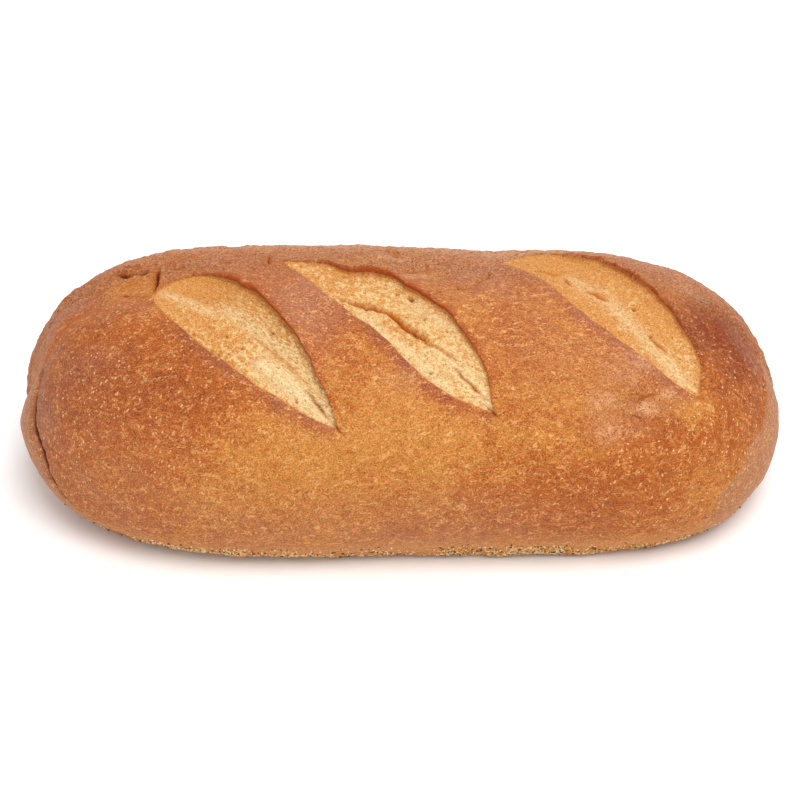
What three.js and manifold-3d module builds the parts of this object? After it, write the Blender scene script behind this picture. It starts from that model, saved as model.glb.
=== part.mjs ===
// An unseeded rye loaf, baked free on a stone, as one solid in millimetres.
// X runs along the loaf, -Y is its front side and +Z is up. It stands on z = 0.
import * as THREE from 'three';
import { mergeVertices } from 'three/addons/utils/BufferGeometryUtils.js';
import Module from 'manifold-3d';

const wasm = await Module();
wasm.setup();

// Driving dimensions of the loaf before it is slashed
const halfLength = 140;
const halfWidth = 64;
const widestLevel = 25;
const crownRise = 58;
const keelDrop = 40;
const crownSlope = -0.021;
const sectionPower = 0.9;
const baseRounding = 5;

// How blunt each end is: the power of the plan, of the crown's line and of the keel's line
const leftEnd = { plan: 4.1, crown: 5.4, keel: 3.8 };
const rightEnd = { plan: 4.4, crown: 4.5, keel: 5.8 };

// A place on the skin is its x and its girth, the developed distance from the ridge, + to the front
const girthRadius = 60;

// The slashes. back and tip are places on the skin. lip is the edge under the raised ear, and front
// the other edge; each bows out by bow, and rise and fall say how fast it leaves back and nears tip.
// A notch is a dent in an edge. floor is the depth below the skin, from the front edge (0) to the
// foot of the ear (1).
const slashes = [
  {
    back: [-87.5, 2.6], tip: [-20.4, 58.8],
    lip: { bow: 21.6, rise: 0.55, fall: 1.08, waves: 0.3, notch: { at: 0.28, size: 1.2, width: 0.06 } },
    front: { bow: 6.9, rise: 0.5, fall: 0.85, waves: 0.2 },
    floor: [[0, 1.2], [0.2, 1.4], [0.46, 0.8], [0.54, 1.6], [0.72, 2.2], [0.88, 1.9], [1, 1.0]],
    ear: { height: 2.2, overhang: 0.3, spread: 13 }, undercut: 0.2,
  },
  {
    back: [-42.8, -12], tip: [33, 52],
    lip: { bow: 20.3, rise: 0.98, fall: 0.92, waves: 0.5, notch: { at: 0.22, size: -4.8, width: 0.055 } },
    front: { bow: 2.0, rise: 0.5, fall: 0.6, waves: 0.2, notch: { at: 0.83, size: 6.2, width: 0.21 } },
    floor: [[0, 1.2], [0.22, 1.9], [0.34, 1.2], [0.55, 0.7], [0.8, 0.9], [1, 0.9]],
    ear: { height: 2.0, overhang: 0.3, spread: 12 }, undercut: 0.2,
  },
  {
    back: [38, -19.5], tip: [104.5, 43.5],
    lip: { bow: 25.2, rise: 0.45, fall: 0.62, waves: 0.3, notch: { at: 0.38, size: -1.6, width: 0.08 } },
    front: { bow: 2.1, rise: 0.25, fall: 0.3, waves: 0.2, notch: { at: 0.47, size: 0.9, width: 0.09 } },
    floor: [[0, 1.2], [0.3, 1.7], [0.5, 2.3], [0.62, 1.8], [0.85, 1.4], [1, 1.0]],
    ear: { height: 2.0, overhang: 0.2, spread: 13 }, undercut: 0.2,
  },
];

// How an edge's bow shrinks to a narrow end at the tip, and the small waves along it
const tipShape = { pointed: 0.6, length: 0.06 };
const edgeWaves = { slow: 23, quick: 51, quickShare: 0.6 };

// How soon a slash's depth and its ear's height grow from nothing at its two ends, and how far above
// the skin the cut starts there
const depthGrowth = 0.6;
const earGrowth = 0.7;
const cutEnd = 0.5;

// The ear's section: its foot inside the loaf, the height of its underside, and its back's slope as
// shares of its spread and of its height. Its two ends are points inside the loaf.
const earSection = {
  rootOut: 0.8, rootDepth: 1.6, heelDepth: 1.2,
  underside: 0.45, undersideDrop: 0.3,
  back: [[0.6, 0.3], [0.25, 0.8]],
  startOut: 2, finishOut: 1, endDepth: 0.8,
};

// Narrow tears in the crust, each along a few places on the skin
const tears = [
  { path: [[-104.5, -20], [-97.5, -13.5], [-90.5, -10.5]], width: 3.6, depth: 3.0 },
  { path: [[-87, -15.5], [-88, -6], [-88, 2]], width: 2.2, depth: 2.4 },
  { path: [[-101, 0], [-96.5, 1.5], [-90, 3.5]], width: 1.6, depth: 1.4 },
  { path: [[-25.5, 1.5], [-8.5, 9.5], [-4, 12], [5, 20.5], [16, 29.5]], width: 2.2, depth: 3.0 },
  { path: [[14, 30], [22, 38], [31, 48]], width: 1.4, depth: 2.0 },
];
const tearGrowth = 0.7;
const tearSky = 2.5;
const tearEnd = 1;

// The fold that closes the left end: a crease round the end cap, between two angles in degrees
const fold = { x: -131.5, turn: 45, swing: 7.5, reach: 55, from: 22, to: 110, width: 3.2, depth: 2.6 };

// The four-cornered patch that the loaf stands on without rocking, from its middle to its corners along
// X and Y. Its face is at z = 0, and the rest of the base is higher by step.
const sole = { halfX: 85, halfY: 38, step: 0.7, thickness: 2 };

// Broad swells of the crust: a place on the skin, two radii and a height
const swells = [
  { at: [-8, -16], radii: [22, 20], height: 1.3 },
  { at: [-62, 58], radii: [34, 24], height: 0.9 },
  { at: [-6, 62], radii: [26, 22], height: 0.8 },
  { at: [62, 56], radii: [34, 26], height: 0.9 },
  { at: [-118, 30], radii: [18, 26], height: 0.8 },
  { at: [118, 24], radii: [14, 30], height: -0.9 },
  { at: [84, -30], radii: [30, 20], height: 0.8 },
  { at: [38, -26], radii: [10, 18], height: -2.0 },
  { at: [-96, -6], radii: [9, 9], height: -1.1 },
  { at: [-40, -66], radii: [40, 24], height: 1.0 },
  { at: [30, -82], radii: [34, 26], height: -1.0 },
  { at: [-68, 106], radii: [40, 22], height: 1.0 },
  { at: [34, 116], radii: [60, 26], height: -2.8 },
  { at: [112, 104], radii: [26, 26], height: 0.8 },
  { at: [-104, 120], radii: [24, 16], height: -1.2 },
  { at: [-136, 14], radii: [10, 20], height: -3.2 },
  { at: [-134, 78], radii: [10, 16], height: 1.3 },
  { at: [132, -2], radii: [10, 16], height: -1.2 },
  { at: [124, -8], radii: [18, 20], height: -1.8 },
  { at: [0, -36], radii: [110, 26], height: -0.8 },
];
const crag = { height: 0.6, size: 14 };
const swellFoot = { from: 0.3, to: 5 };

// Mesh fineness
const girthSteps = 58;
const lengthSteps = 66;
const slashSteps = 26;
const tearSteps = 14;
const lengthCrowding = 0.12;
const crownCrowding = 0.2;
const slashSky = 8;
const floorColumns = [1, 0.86, 0.7, 0.52, 0.36, 0.22, 0];
const smallStep = 0.01;
const nearPole = 0.999;
const weldDistance = 1e-4;

const color = { crust: 0xb46a35 };

// z, flattened to 0 below the base with a rounded edge
function rest(z) {
  if (z > baseRounding) return z;
  if (z < -baseRounding) return 0;
  return (z + baseRounding) ** 2 / (4 * baseRounding);
}

// A smooth step from 0 to 1 while t goes from 0 to 1
function ease(t) {
  const part = THREE.MathUtils.clamp(t, 0, 1);
  return part * part * (3 - 2 * part);
}

function fullness(x, power) {
  return Math.sqrt(Math.max(0, 1 - Math.abs(x / halfLength) ** power));
}

// The smooth skin at x, theta being the angle round the loaf from its ridge, + to the front
function skinPoint(x, theta) {
  const end = x < 0 ? leftEnd : rightEnd;
  const side = Math.sin(theta);
  const up = Math.cos(theta);
  const y = -Math.sign(side) * Math.abs(side) ** sectionPower * halfWidth * fullness(x, end.plan);
  const rise = up > 0
    ? (crownRise + crownSlope * x) * fullness(x, end.crown)
    : -keelDrop * fullness(x, end.keel);
  return new THREE.Vector3(x, y, rest(widestLevel + rise * Math.abs(up) ** sectionPower));
}

function skinNormal(x, theta) {
  const along = skinPoint(x + smallStep, theta).sub(skinPoint(x - smallStep, theta));
  const round = skinPoint(x, theta + smallStep).sub(skinPoint(x, theta - smallStep));
  return round.cross(along).normalize();
}

// The point that stands off the skin at a place, given by x and girth
function offSkin([x, girth], height) {
  const theta = girth / girthRadius;
  return skinPoint(x, theta).addScaledVector(skinNormal(x, theta), height);
}

function bump(distance) {
  return Math.exp(-distance * distance);
}

// A fixed random number from 0 to 1 for each corner of a lattice
function cornerValue(i, j, k) {
  const s = Math.sin(i * 127.1 + j * 311.7 + k * 74.7) * 43758.5453;
  return s - Math.floor(s);
}

function smoothNoise(point, size) {
  const cell = point.clone().divideScalar(size);
  const low = cell.clone().floor();
  const part = cell.sub(low).toArray().map(ease);
  let sum = 0;
  for (let corner = 0; corner < 8; corner += 1) {
    const step = [corner & 1, (corner >> 1) & 1, (corner >> 2) & 1];
    const share = step.reduce((s, up, axis) => s * (up ? part[axis] : 1 - part[axis]), 1);
    sum += share * cornerValue(low.x + step[0], low.y + step[1], low.z + step[2]);
  }
  return 2 * sum - 1;
}

// How far the crust stands proud of the smooth skin, which is nothing at the flat base
function relief(x, theta) {
  const girth = theta * girthRadius;
  const skin = skinPoint(x, theta);
  let height = crag.height * smoothNoise(skin, crag.size);
  for (const { at, radii, height: top } of swells) {
    height += top * bump(Math.hypot((x - at[0]) / radii[0], (girth - at[1]) / radii[1]));
  }
  return height * ease((skin.z - swellFoot.from) / (swellFoot.to - swellFoot.from));
}

// A closed geometry through rings of points, whose first and last rings are single points
function loft(start, rings, end) {
  const count = rings[0].length;
  const points = [start, ...rings.flat(), end];
  const last = points.length - 1;
  const index = [];
  for (let j = 0; j < count; j += 1) {
    const next = (j + 1) % count;
    index.push(0, 1 + next, 1 + j);
    for (let i = 0; i < rings.length - 1; i += 1) {
      const here = 1 + i * count;
      const there = here + count;
      index.push(here + j, here + next, there + j, here + next, there + next, there + j);
    }
    index.push(last, last - count + j, last - count + next);
  }
  const geometry = new THREE.BufferGeometry().setFromPoints(points);
  geometry.setIndex(index);
  return geometry;
}

function solidOf(geometry) {
  const bare = geometry.clone();
  bare.deleteAttribute('normal');
  bare.deleteAttribute('uv');
  const merged = mergeVertices(bare, weldDistance);
  return new wasm.Manifold(new wasm.Mesh({
    numProp: 3,
    vertProperties: Float32Array.from(merged.attributes.position.array),
    triVerts: Uint32Array.from(merged.index.array),
  }));
}

function geometryOf(solid) {
  const mesh = solid.getMesh();
  const geometry = new THREE.BufferGeometry();
  geometry.setAttribute('position', new THREE.BufferAttribute(mesh.vertProperties, mesh.numProp));
  geometry.setIndex(new THREE.BufferAttribute(mesh.triVerts, 1));
  return geometry;
}

// The unslashed loaf: a sphere with its poles at the two ends, moved out to the crust
function makeBody() {
  const sphere = new THREE.SphereGeometry(1, girthSteps, lengthSteps).rotateZ(-Math.PI / 2);
  const position = sphere.attributes.position;
  const furthest = nearPole * halfLength - smallStep;
  for (let i = 0; i < position.count; i += 1) {
    const unit = new THREE.Vector3().fromBufferAttribute(position, i);
    const radius = Math.hypot(unit.y, unit.z);
    const tilt = Math.atan2(unit.x, radius);
    const turn = radius < weldDistance ? 0 : Math.atan2(-unit.y, unit.z);
    const x = halfLength * Math.sin(tilt - lengthCrowding * Math.sin(2 * tilt));
    const theta = turn - crownCrowding * Math.sin(turn);
    const normal = skinNormal(THREE.MathUtils.clamp(x, -furthest, furthest), theta);
    const crust = skinPoint(x, theta).addScaledVector(normal, relief(x, theta));
    position.setXYZ(i, crust.x, crust.y, Math.max(sole.step, crust.z));
  }
  return solidOf(sphere);
}

function makeSole() {
  const corners = [[-sole.halfX, 0], [0, -sole.halfY], [sole.halfX, 0], [0, sole.halfY]];
  const patch = new THREE.Shape(corners.map(([x, y]) => new THREE.Vector2(x, y)));
  return solidOf(new THREE.ExtrudeGeometry(patch, { depth: sole.thickness, bevelEnabled: false }));
}

// How far an edge of a slash bows from its straight line, at a share of the slash's length
function bowOf(edge, share) {
  const shape = (s) => s ** edge.rise * (1 - s) ** edge.fall;
  const fullest = shape(edge.rise / (edge.rise + edge.fall));
  const narrowed = 1 - tipShape.pointed * bump((1 - share) / tipShape.length);
  const { slow, quick, quickShare } = edgeWaves;
  const waves = edge.waves * (Math.sin(slow * share) + quickShare * Math.sin(quick * share + edge.bow));
  const notch = edge.notch ? edge.notch.size * bump((share - edge.notch.at) / edge.notch.width) : 0;
  return edge.bow * narrowed * shape(share) / fullest + (waves + notch) * Math.sin(Math.PI * share);
}

// Places on the skin for a slash: a share of its length, and a distance across it, + to the lip
function slashFrame({ back, tip }) {
  const from = new THREE.Vector2(...back);
  const line = new THREE.Vector2(...tip).sub(from);
  const across = new THREE.Vector2(line.y, -line.x).normalize();
  return (share, side) => from.clone().addScaledVector(line, share).addScaledVector(across, side).toArray();
}

function floorDepth(floor, t) {
  const next = floor.findIndex(([at]) => at >= t);
  if (next <= 0) return floor[0][1];
  const [[t0, d0], [t1, d1]] = [floor[next - 1], floor[next]];
  return THREE.MathUtils.lerp(d0, d1, ease((t - t0) / (t1 - t0)));
}

// Shares of a slash's length, closer together near its two ends
function sharesOf(steps) {
  return Array.from({ length: steps - 1 }, (_, i) => (1 - Math.cos(Math.PI * (i + 1) / steps)) / 2);
}

// What the open slash takes out of the loaf: from the sky down to its own floor
function slashCutter(slash) {
  const place = slashFrame(slash);
  const rings = sharesOf(slashSteps).map((share) => {
    const fade = Math.sin(Math.PI * share) ** depthGrowth;
    const lip = bowOf(slash.lip, share);
    const front = -bowOf(slash.front, share);
    const foot = lip + slash.undercut * fade;
    const bed = floorColumns.map((t) => offSkin(
      place(share, THREE.MathUtils.lerp(front, foot, t)),
      -floorDepth(slash.floor, t) * fade,
    ));
    return [...bed.reverse(), offSkin(place(share, lip), 0),
      offSkin(place(share, lip), slashSky), offSkin(place(share, front), slashSky)];
  });
  return solidOf(loft(offSkin(place(0, 0), cutEnd), rings, offSkin(place(1, 0), cutEnd)));
}

// The ear: crust that lifted along the lip and leans a little over the slash
function slashEar(slash) {
  const place = slashFrame(slash);
  const { height, overhang, spread } = slash.ear;
  const { rootOut, rootDepth, heelDepth, underside, undersideDrop, back } = earSection;
  const rings = sharesOf(slashSteps).map((share) => {
    const fade = Math.sin(Math.PI * share) ** earGrowth;
    const lip = bowOf(slash.lip, share);
    const top = height * fade;
    const section = [
      [-overhang * fade, top * underside - undersideDrop], [rootOut, -rootDepth], [spread, -heelDepth],
      ...back.map(([out, up]) => [spread * out, top * up]), [-overhang * fade, top],
    ];
    return section.map(([side, rise]) => offSkin(place(share, lip + side), rise));
  });
  const start = offSkin(place(0, earSection.startOut), -earSection.endDepth);
  const finish = offSkin(place(1, earSection.finishOut), -earSection.endDepth);
  return solidOf(loft(start, rings, finish));
}

// A narrow V along places on the skin, as wide and deep as given in the middle and closed at both ends
function tearCutter(placeAt, width, depth, steps) {
  const rings = sharesOf(steps).map((share) => {
    const [x, girth] = placeAt(share);
    const [nextX, nextGirth] = placeAt(share + smallStep);
    const side = new THREE.Vector2(nextGirth - girth, x - nextX).normalize();
    const fade = Math.sin(Math.PI * share) ** tearGrowth;
    const rim = (width / 2) * fade * (1 + tearSky / depth);
    return [
      offSkin([x + side.x * rim, girth + side.y * rim], tearSky),
      offSkin([x, girth], -depth * fade),
      offSkin([x - side.x * rim, girth - side.y * rim], tearSky),
    ].reverse();
  });
  return solidOf(loft(offSkin(placeAt(0), tearEnd), rings, offSkin(placeAt(1), tearEnd)));
}

function openTear({ path, width, depth }) {
  const curve = new THREE.SplineCurve(path.map(([x, girth]) => new THREE.Vector2(x, girth)));
  return tearCutter((share) => curve.getPoint(share).toArray(), width, depth, tearSteps);
}

function endFold() {
  const placeAt = (share) => {
    const angle = THREE.MathUtils.lerp(fold.from, fold.to, share);
    const x = fold.x + fold.swing * ((angle - fold.turn) / fold.reach) ** 2;
    return [x, THREE.MathUtils.degToRad(angle) * girthRadius];
  };
  return tearCutter(placeAt, fold.width, fold.depth, 2 * tearSteps);
}

function makeLoaf() {
  let solid = makeBody().add(makeSole());
  for (const slash of slashes) solid = solid.subtract(slashCutter(slash));
  for (const slash of slashes) solid = solid.add(slashEar(slash));
  for (const tear of tears) solid = solid.subtract(openTear(tear));
  solid = solid.subtract(endFold());
  const geometry = geometryOf(solid);
  geometry.computeBoundingBox();
  const { min, max } = geometry.boundingBox;
  geometry.translate(-(min.x + max.x) / 2, -(min.y + max.y) / 2, -min.z);
  geometry.computeVertexNormals();
  const crust = new THREE.MeshStandardMaterial({ color: color.crust, roughness: 0.6, metalness: 0 });
  const loaf = new THREE.Mesh(geometry, crust);
  loaf.name = 'loaf';
  return loaf;
}

const ryeLoaf = new THREE.Group();
ryeLoaf.add(makeLoaf());

export default ryeLoaf;
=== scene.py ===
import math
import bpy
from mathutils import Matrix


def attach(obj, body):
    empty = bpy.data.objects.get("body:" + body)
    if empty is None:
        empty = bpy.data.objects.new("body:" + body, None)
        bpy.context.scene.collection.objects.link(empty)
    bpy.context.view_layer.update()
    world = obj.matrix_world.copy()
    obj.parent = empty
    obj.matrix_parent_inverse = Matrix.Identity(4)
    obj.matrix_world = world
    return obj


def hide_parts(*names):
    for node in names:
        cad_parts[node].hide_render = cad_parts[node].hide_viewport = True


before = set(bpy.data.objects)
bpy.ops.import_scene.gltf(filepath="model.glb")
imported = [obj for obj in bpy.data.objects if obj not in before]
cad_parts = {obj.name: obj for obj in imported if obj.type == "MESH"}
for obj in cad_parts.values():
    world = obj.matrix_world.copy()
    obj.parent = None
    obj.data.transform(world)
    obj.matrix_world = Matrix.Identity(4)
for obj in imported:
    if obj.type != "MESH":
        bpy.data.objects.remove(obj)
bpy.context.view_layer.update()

# A rye loaf baked free on a stone: one fine mesh of crust and torn crumb, and the meal that stuck to it.
# Places on the crust are given as x and girth in millimetres, girth being the way round from the ridge,
# plus towards the front. The meshes are made in millimetres and turned into metres at the very end.
from types import SimpleNamespace

import bpy
import numpy as np
from mathutils import Vector

mm = 0.001


# Small helpers for shapes

latticeSteps = (127.1, 311.7, 74.7)   # uneven, so that the corners of a lattice get unlike values
latticeScale = 43758.5453
rowGap = 37.3   # from the row of one seed to the next


def smooth(value, low, high):
    part = np.clip((value - low) / (high - low), 0, 1)
    return part * part * (3 - 2 * part)


def hill(distance):
    return np.exp(-distance * distance)


# A hill of some width and height at one value
def hillAt(value, at, width, height):
    return height * hill((value - at) / width)


def blend(a, b, part):
    return a + (b - a) * part


# A fixed random number from 0 to 1 for each corner of a lattice
def cornerValue(i, j, k):
    value = np.sin(i * latticeSteps[0] + j * latticeSteps[1] + k * latticeSteps[2]) * latticeScale
    return value - np.floor(value)


# Soft lumps between -1 and 1, and a seed moves to others of them
def softNoise(points, size, seed=0):
    cell = (points + seed) / size
    low = np.floor(cell)
    part = cell - low
    part = part * part * (3 - 2 * part)
    total = 0
    for corner in range(8):
        step = np.array([corner & 1, (corner >> 1) & 1, (corner >> 2) & 1])
        share = np.prod(np.where(step, part, 1 - part), axis=1)
        total = total + share * cornerValue(*(low + step).T)
    return 2 * total - 1


def lineNoise(distance, size, seed):
    places = [distance, np.full_like(distance, rowGap * seed), np.zeros_like(distance)]
    return softNoise(np.stack(places, 1), size)


# Lumps of one kind, which is a size and a height
def lumps(points, kind, seed=0):
    size, height = kind
    return height * softNoise(points, size, seed)


def unevenness(distance, kind, seed):
    size, amount = kind
    return amount * lineNoise(distance, size, seed)


# Lifts some of a field's values to at least those given
def liftTo(field, label, values, near=slice(None)):
    field[label][near] = np.maximum(field[label][near], values)


# The loaf's own form, before it is slashed

loafForm = {
    "halfLength": 140.0, "halfWidth": 64.0, "widestLevel": 25.0,
    "crownRise": 58.0, "crownSlope": -0.021, "keelDrop": 40.0,
    "sectionPower": 0.9, "baseRounding": 5.0, "girthRadius": 60.0,
    "leftEnd": {"plan": 4.1, "crown": 5.4, "keel": 3.8},
    "rightEnd": {"plan": 4.4, "crown": 4.5, "keel": 5.8},
}


# z, flattened to 0 below the base with a rounded edge
def rest(z):
    soft = loafForm["baseRounding"]
    return np.where(z > soft, z, np.where(z < -soft, 0, (z + soft) ** 2 / (4 * soft)))


def fullness(x, line):
    power = np.where(x < 0, loafForm["leftEnd"][line], loafForm["rightEnd"][line])
    return np.sqrt(np.clip(1 - np.abs(x / loafForm["halfLength"]) ** power, 0, 1))


def skinPoint(x, theta):
    form = loafForm
    side, up = np.sin(theta), np.cos(theta)
    power = form["sectionPower"]
    y = -np.sign(side) * np.abs(side) ** power * form["halfWidth"] * fullness(x, "plan")
    crown = (form["crownRise"] + form["crownSlope"] * x) * fullness(x, "crown")
    keel = -form["keelDrop"] * fullness(x, "keel")
    z = form["widestLevel"] + np.where(up > 0, crown, keel) * np.abs(up) ** power
    return np.stack([x, y, rest(z)], -1)


def skinNormal(x, theta):
    step = 0.01
    last = 0.999 * loafForm["halfLength"] - step   # just short of the very ends, which have no direction
    inner = np.clip(x, -last, last)
    along = skinPoint(inner + step, theta) - skinPoint(inner - step, theta)
    around = skinPoint(inner, theta + step) - skinPoint(inner, theta - step)
    normal = np.cross(around, along)
    return normal / np.linalg.norm(normal, axis=-1, keepdims=True)


# The crust's relief: broad swells, then ever smaller lumps

crustRelief = {
    "swells": [   # x, girth, how far each way, height
        (-8, -16, 22, 20, 1.3), (-62, 58, 34, 24, 0.9), (-6, 62, 26, 22, 0.8), (62, 56, 34, 26, 0.9),
        (-118, 30, 18, 26, 0.8), (118, 24, 14, 30, -0.9), (84, -30, 30, 20, 0.8), (38, -26, 10, 18, -2.0),
        (-96, -6, 9, 9, -1.1), (-40, -66, 40, 24, 1.0), (30, -82, 34, 26, -1.0), (-68, 106, 40, 22, 1.0),
        (34, 116, 60, 26, -2.8), (112, 104, 26, 26, 0.8), (-104, 120, 24, 16, -1.2),
        (-136, 14, 10, 20, -3.2), (-134, 78, 10, 16, 1.3), (132, -2, 10, 16, -1.2), (124, -8, 18, 20, -1.8),
        (0, -36, 110, 26, -0.8),
    ],
    "crags": [(14, 0.6), (6.5, 0.24), (3.4, 0.13), (1.7, 0.08)],   # size, height
    "roughTop": {"from": 6, "to": -12, "ridgeSize": 4.6, "ridgeHeight": 0.55, "fine": (1.3, 0.25)},
    "raggedFoot": {"level": 2.5, "reach": 2.5, "coarse": (5, 0.5), "fine": (1.8, 0.3)},
    "fadesBetween": (0.3, 5),   # heights above the base
}


# A soft oval patch: where its middle is, how far it reaches each way, and its amount
def patch(place, x, girth, long, wide, amount):
    return amount * hill(np.hypot((place["x"] - x) / long, (place["girth"] - girth) / wide))


def patches(place, rows):
    return sum(patch(place, *row) for row in rows)


def raiseRelief(field):
    relief = crustRelief
    skin = skinPoint(field["x"], field["girth"] / loafForm["girthRadius"])
    z = skin[:, 2]
    height = patches(field, relief["swells"])
    for crag in relief["crags"]:
        height = height + lumps(skin, crag)
    rough = relief["roughTop"]
    upTop = smooth(field["girth"], rough["from"], rough["to"])
    ridged = 1 - 2 * np.abs(softNoise(skin, rough["ridgeSize"], 11))
    height = height + upTop * (rough["ridgeHeight"] * ridged + lumps(skin, rough["fine"], 17))
    foot = relief["raggedFoot"]
    ragged = lumps(skin, foot["coarse"], 23) + lumps(skin, foot["fine"], 29)
    ragged = ragged * hill((z - foot["level"]) / foot["reach"])
    field["height"] = height * smooth(z, *relief["fadesBetween"]) + ragged
    field["craggy"] = upTop
    field["skin"] = skin


# The slashes: each has a lip under its raised ear, a front edge, and a torn floor between them.
# floor holds depths from the front edge (0) to the foot of the ear (1), toast the crumb's browning from
# the upper end (0) to the tip (1). A notch is share, size and width, a patch as above, a pale stroke
# (cream crumb, along its ridges partly a painted highlight) its two ends, width and amount, and rim how
# far up the wall it starts and its width at either end.

# Each slash's line under its lip is a painted shade, as strong at its back end and at its tip as the pair
# given
slashes = [
    {
        "back": (-87.5, 2.6), "tip": (-20.4, 58.8),
        "lip": {"bow": 21.6, "rise": 0.55, "fall": 1.08, "waves": 0.3, "notch": (0.27, -0.7, 0.02)},
        "front": {"bow": 6.9, "rise": 0.5, "fall": 0.85, "waves": 0.2},
        "floor": [(0, 1.2), (0.2, 1.4), (0.46, 0.8), (0.54, 1.6), (0.72, 2.2), (0.88, 1.9), (1, 1.0)],
        "ear": {"height": 2.2, "overhang": 0.3, "spread": 13},
        "fibres": 0.3, "lipToast": (2.4, 0.8), "stringy": 1.0, "underLipShade": (0.45, 0.05), "mauve": 0.5,
        "rim": (0.42, 2.3, 0.6),
        "toast": [(0, 1.3), (0.2, 0.95), (0.5, 0.4), (0.7, 0), (1, -0.1)],
        "patches": [
            (-64, 0, 12, 6, 0.6), (-76, 2, 8, 5, 0.3), (-60, 24, 7, 5, 0.4), (-48, 33, 5, 4, 0.25),
            (-70, 16, 6, 4, 0.3),
        ],
        "white": [
            ((-48, 34), (-24, 54), 3.4, 0.9), ((-84, 3), (-66, 13), 2.0, 0.5),
            ((-62, 11), (-40, 30), 3, 0.55), ((-40, 30), (-27, 46), 2.2, 0.35),
        ],
    },
    {
        "back": (-42.8, -12), "tip": (33, 52),
        "lip": {"bow": 20.3, "rise": 0.98, "fall": 0.92, "waves": 0.5, "notch": (0.22, -4.8, 0.055)},
        "front": {"bow": 2.0, "rise": 0.5, "fall": 0.6, "waves": 0.2, "notch": (0.83, 6.2, 0.21)},
        "floor": [(0, 1.2), (0.22, 1.9), (0.34, 1.2), (0.55, 0.7), (0.8, 0.9), (1, 0.9)],
        "ear": {"height": 2.0, "overhang": 0.3, "spread": 12},
        "fibres": 0.14, "lipToast": (2.4, 0.8), "stringy": 0.3, "underLipShade": (0.3, 0.15), "mauve": 0.25,
        "rim": (0.42, 1.6, 0.8),
        "toast": [(0, 0.85), (0.15, 0.65), (0.4, 0.4), (0.7, 0.1), (1, 0)],
        "patches": [
            (-18, -5, 12, 4, 0.4), (6, 24, 5, 3, 0.4), (18, 22, 6, 6, 0.15), (0, 18, 5, 3, 0.3),
        ],
        "white": [
            ((-14, 12), (16, 41), 2.4, 0.6), ((14, 28), (30, 47), 3.0, 0.6), ((4, 9), (18, 19), 3.5, 0.3),
        ],
    },
    {
        "back": (38, -19.5), "tip": (104.5, 43.5),
        "lip": {"bow": 25.2, "rise": 0.45, "fall": 0.62, "waves": 0.3, "notch": (0.38, -1.6, 0.08)},
        "front": {"bow": 2.1, "rise": 0.25, "fall": 0.3, "waves": 0.2, "notch": (0.47, 0.9, 0.09)},
        "floor": [(0, 1.2), (0.3, 1.7), (0.5, 2.3), (0.62, 1.8), (0.85, 1.4), (1, 1.0)],
        "ear": {"height": 2.0, "overhang": 0.2, "spread": 13},
        "fibres": 0.1, "lipToast": (2.6, 0.45), "stringy": 0.15, "underLipShade": (0.4, 0.6), "mauve": 0.6,
        "rim": (0.75, 0.6, 0.3),
        "toast": [(0, 1.2), (0.3, 1.15), (0.6, 1.0), (1, 0.6)],
        "patches": [(64, -16, 26, 6, 0.2), (92, 10, 7, 14, 0.25), (72, 12, 10, 5, 0.2)],
        "white": [((62, -7), (77, 4), 3.6, 0.4), ((77, 5), (99, 36), 3.2, 0.55)],
    },
]
# What all three slashes share; ragged and uneven values are a size and an amount
slashMake = {
    "reach": (-22, 44), "pointed": 0.6, "depthPower": 0.6, "earPower": 0.7,
    "raggedCoarse": (5.5, 0.36), "raggedFine": (1.9, 0.24), "frontRagged": 0.4,
    "wallHalf": 1.2, "undercut": 0.2, "rimAt": 0.55, "rimLevel": 0.5, "rimDrop": 0.2,
    "earUneven": (9, 0.15), "overhangUneven": (7, 0.25), "crest": (0.08, 0.1, 0.12),
    "shoulder": (-2.6, 2.4, 0.35),
}
crumbRelief = {
    "sponge": (1.9, 0.22), "fineSponge": (1.1, 0.16), "swells": (6, 0.5),
    "pores": {"size": 1.5, "depth": 0.6, "between": (0.4, 0.85)},
    "strands": {"long": 7, "thick": 1.1, "slant": 0.15, "fine": 0.5, "finer": (1, 2.1, 1)},
    "ridges": {"long": 16, "thick": 2.4, "slant": 0.05, "height": 0.35},
}


# How far an edge bows from the slash's straight line, at a share of its length
def bowOf(edge, share):
    def curve(at):
        return at ** edge["rise"] * (1 - at) ** edge["fall"]

    waves = edge["waves"] * (np.sin(23 * share) + 0.6 * np.sin(51 * share + edge["bow"]))
    if "notch" in edge:
        at, size, width = edge["notch"]
        waves = waves + hillAt(share, at, width, size)
    peak = edge["rise"] / (edge["rise"] + edge["fall"])
    narrow = 1 - slashMake["pointed"] * hill((1 - share) / 0.06)
    return edge["bow"] * (curve(share) / curve(peak) * narrow) + waves * np.sin(np.pi * share)


# A smooth run of values through (place, value) stops
def through(stops, place):
    at, value = np.array(stops, float).T
    index = np.clip(np.searchsorted(at, place) - 1, 0, len(stops) - 2)
    between = smooth((place - at[index]) / (at[index + 1] - at[index]), 0, 1)
    return blend(value[index], value[index + 1], between)


def segmentDistance(place, start, end):
    x, girth = place["x"] - start[0], place["girth"] - start[1]
    line = np.array(end, float) - np.array(start, float)
    part = np.clip((x * line[0] + girth * line[1]) / (line @ line), 0, 1)
    return np.hypot(x - part * line[0], girth - part * line[1])


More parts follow.
